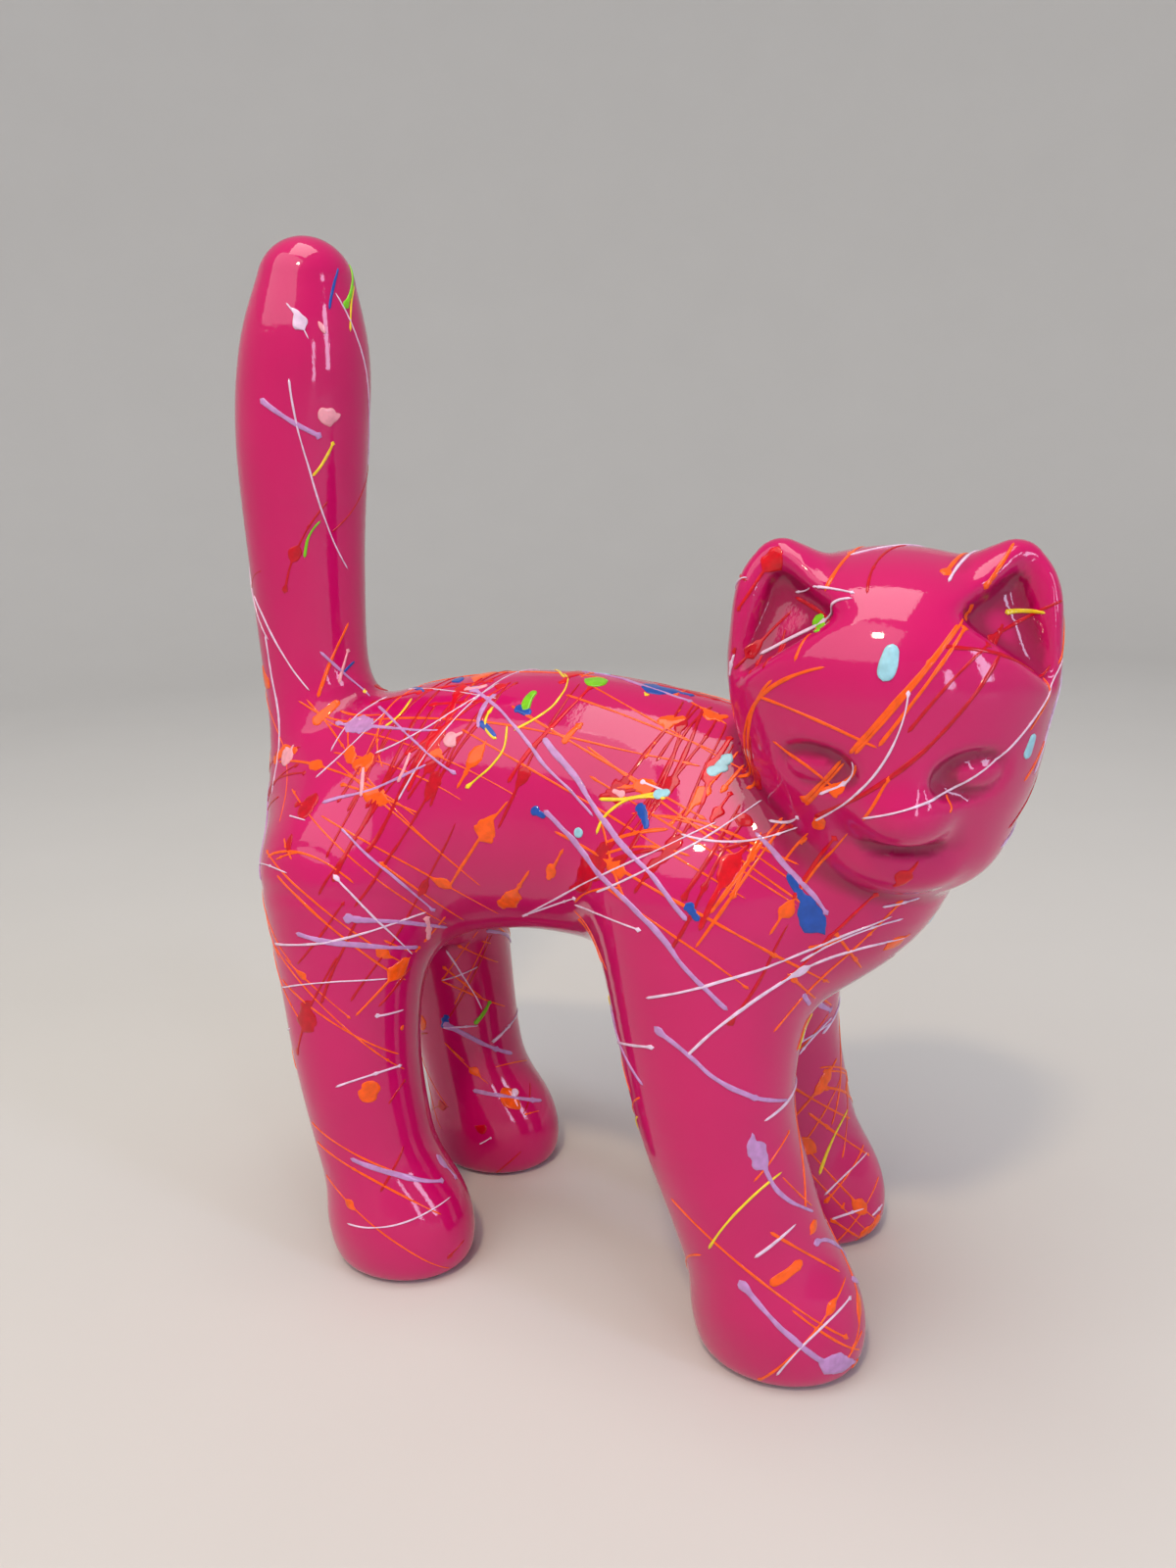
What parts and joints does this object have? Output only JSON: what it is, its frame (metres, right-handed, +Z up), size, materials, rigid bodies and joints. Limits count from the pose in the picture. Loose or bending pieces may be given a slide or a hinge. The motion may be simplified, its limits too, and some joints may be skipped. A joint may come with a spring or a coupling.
{
  "type": "cat figurine",
  "caption": "Standing cat figurine cast in one piece, its head turned to the side and its tail held straight up, a glossy ornament for a shelf or table",
  "frame": {"origin": "middle of the figurine's bounding box, on the surface that its four paws stand on", "axes": "+X is the way that the cat's body faces, +Y is the cat's left side, +Z is up"},
  "size_m": [0.1608, 0.0708, 0.2072],
  "materials": {
    "pink_lacquer": "high gloss pink lacquer over cast resin"
  },
  "bodies": {
    "root": {"cat": "pink_lacquer"}
  },
  "joints": []
}
